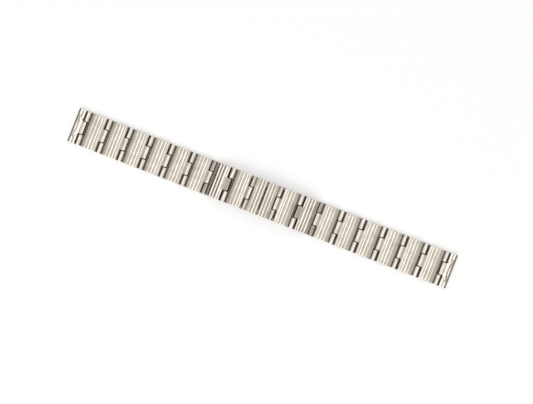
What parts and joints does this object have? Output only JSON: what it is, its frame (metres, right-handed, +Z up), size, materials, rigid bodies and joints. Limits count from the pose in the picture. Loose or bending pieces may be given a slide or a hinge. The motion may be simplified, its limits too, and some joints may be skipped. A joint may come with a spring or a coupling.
{
  "type": "link watch bracelet",
  "caption": "Straight link watch bracelet with fluted links, pinned hinges and a hidden double folding clasp.",
  "frame": {"origin": "bottom centre of the bracelet's box, on the table under the seam", "axes": "+X along the bracelet, +Y across it, +Z up out of its fluted top"},
  "size_m": [0.1606, 0.014, 0.0062],
  "materials": {
    "links": "satin",
    "link_pins": "turned",
    "clasp": "brushed"
  },
  "bodies": {
    "clasp_base": {"clasp_base": "clasp", "left_catch_pin": "link_pins", "right_catch_pin": "link_pins"},
    "left_arm": {"left_clasp_arm": "clasp", "left_arm_hinge_pin": "link_pins", "left_nose_pin": "link_pins", "left_catch_clip": "clasp"},
    "left_centre": {"left_centre_link": "links", "left_link_pin_9": "link_pins"},
    "left_link_8": {"left_link_8": "links", "left_link_pin_8": "link_pins"},
    "left_link_7": {"left_link_7": "links", "left_link_pin_7": "link_pins"},
    "left_link_6": {"left_link_6": "links", "left_link_pin_6": "link_pins"},
    "left_link_5": {"left_link_5": "links", "left_link_pin_5": "link_pins"},
    "left_link_4": {"left_link_4": "links", "left_link_pin_4": "link_pins"},
    "left_link_3": {"left_link_3": "links", "left_link_pin_3": "link_pins"},
    "left_link_2": {"left_link_2": "links", "left_link_pin_2": "link_pins"},
    "left_link_1": {"left_link_1": "links", "left_link_pin_1": "link_pins"},
    "left_end": {"left_end_link": "links"},
    "right_arm": {"right_clasp_arm": "clasp", "right_arm_hinge_pin": "link_pins", "right_nose_pin": "link_pins", "right_catch_clip": "clasp"},
    "right_centre": {"right_centre_link": "links", "right_link_pin_9": "link_pins"},
    "right_link_8": {"right_link_8": "links", "right_link_pin_8": "link_pins"},
    "right_link_7": {"right_link_7": "links", "right_link_pin_7": "link_pins"},
    "right_link_6": {"right_link_6": "links", "right_link_pin_6": "link_pins"},
    "right_link_5": {"right_link_5": "links", "right_link_pin_5": "link_pins"},
    "right_link_4": {"right_link_4": "links", "right_link_pin_4": "link_pins"},
    "right_link_3": {"right_link_3": "links", "right_link_pin_3": "link_pins"},
    "right_link_2": {"right_link_2": "links", "right_link_pin_2": "link_pins"},
    "right_link_1": {"right_link_1": "links", "right_link_pin_1": "link_pins"},
    "right_end": {"right_end_link": "links"}
  },
  "joints": [
    {"name": "left_arm_hinge", "type": "hinge", "parent": "clasp_base", "child": "left_arm", "pos_m": [-0.01324, 0, 0.0011], "axis": [0, -1, 0], "range_deg": [0, 150]},
    {"name": "left_nose_hinge", "type": "hinge", "parent": "left_arm", "child": "left_centre", "pos_m": [-0.0011, 0, 0.00513], "axis": [0, 1, 0], "range_deg": [0, 80]},
    {"name": "left_link_hinge_9", "type": "hinge", "parent": "left_centre", "child": "left_link_8", "pos_m": [-0.00579, 0, 0.00473], "axis": [0, 1, 0], "range_deg": [0, 30]},
    {"name": "left_link_hinge_8", "type": "hinge", "parent": "left_link_8", "child": "left_link_7", "pos_m": [-0.01468, 0, 0.00434], "axis": [0, 1, 0], "range_deg": [-14.41, 50.59]},
    {"name": "left_link_hinge_7", "type": "hinge", "parent": "left_link_7", "child": "left_link_6", "pos_m": [-0.02287, 0, 0.00085], "axis": [0, 1, 0], "range_deg": [-58.09, 6.91]},
    {"name": "left_link_hinge_6", "type": "hinge", "parent": "left_link_6", "child": "left_link_5", "pos_m": [-0.03177, 0, 0.00085], "axis": [0, 1, 0], "range_deg": [-35, 30]},
    {"name": "left_link_hinge_5", "type": "hinge", "parent": "left_link_5", "child": "left_link_4", "pos_m": [-0.04067, 0, 0.00085], "axis": [0, 1, 0], "range_deg": [-35, 30]},
    {"name": "left_link_hinge_4", "type": "hinge", "parent": "left_link_4", "child": "left_link_3", "pos_m": [-0.04957, 0, 0.00085], "axis": [0, 1, 0], "range_deg": [-35, 30]},
    {"name": "left_link_hinge_3", "type": "hinge", "parent": "left_link_3", "child": "left_link_2", "pos_m": [-0.05847, 0, 0.00085], "axis": [0, 1, 0], "range_deg": [-35, 30]},
    {"name": "left_link_hinge_2", "type": "hinge", "parent": "left_link_2", "child": "left_link_1", "pos_m": [-0.06737, 0, 0.00085], "axis": [0, 1, 0], "range_deg": [-35, 30]},
    {"name": "left_link_hinge_1", "type": "hinge", "parent": "left_link_1", "child": "left_end", "pos_m": [-0.07627, 0, 0.00085], "axis": [0, 1, 0], "range_deg": [-35, 30]},
    {"name": "right_arm_hinge", "type": "hinge", "parent": "clasp_base", "child": "right_arm", "pos_m": [0.01324, 0, 0.0011], "axis": [0, -1, 0], "range_deg": [-150, 0]},
    {"name": "right_nose_hinge", "type": "hinge", "parent": "right_arm", "child": "right_centre", "pos_m": [0.0011, 0, 0.00513], "axis": [0, 1, 0], "range_deg": [-80, 0]},
    {"name": "right_link_hinge_9", "type": "hinge", "parent": "right_centre", "child": "right_link_8", "pos_m": [0.00579, 0, 0.00473], "axis": [0, 1, 0], "range_deg": [-30, 0]},
    {"name": "right_link_hinge_8", "type": "hinge", "parent": "right_link_8", "child": "right_link_7", "pos_m": [0.01468, 0, 0.00434], "axis": [0, 1, 0], "range_deg": [-50.59, 14.41]},
    {"name": "right_link_hinge_7", "type": "hinge", "parent": "right_link_7", "child": "right_link_6", "pos_m": [0.02287, 0, 0.00085], "axis": [0, 1, 0], "range_deg": [-6.91, 58.09]},
    {"name": "right_link_hinge_6", "type": "hinge", "parent": "right_link_6", "child": "right_link_5", "pos_m": [0.03177, 0, 0.00085], "axis": [0, 1, 0], "range_deg": [-30, 35]},
    {"name": "right_link_hinge_5", "type": "hinge", "parent": "right_link_5", "child": "right_link_4", "pos_m": [0.04067, 0, 0.00085], "axis": [0, 1, 0], "range_deg": [-30, 35]},
    {"name": "right_link_hinge_4", "type": "hinge", "parent": "right_link_4", "child": "right_link_3", "pos_m": [0.04957, 0, 0.00085], "axis": [0, 1, 0], "range_deg": [-30, 35]},
    {"name": "right_link_hinge_3", "type": "hinge", "parent": "right_link_3", "child": "right_link_2", "pos_m": [0.05847, 0, 0.00085], "axis": [0, 1, 0], "range_deg": [-30, 35]},
    {"name": "right_link_hinge_2", "type": "hinge", "parent": "right_link_2", "child": "right_link_1", "pos_m": [0.06737, 0, 0.00085], "axis": [0, 1, 0], "range_deg": [-30, 35]},
    {"name": "right_link_hinge_1", "type": "hinge", "parent": "right_link_1", "child": "right_end", "pos_m": [0.07627, 0, 0.00085], "axis": [0, 1, 0], "range_deg": [-30, 35]}
  ]
}
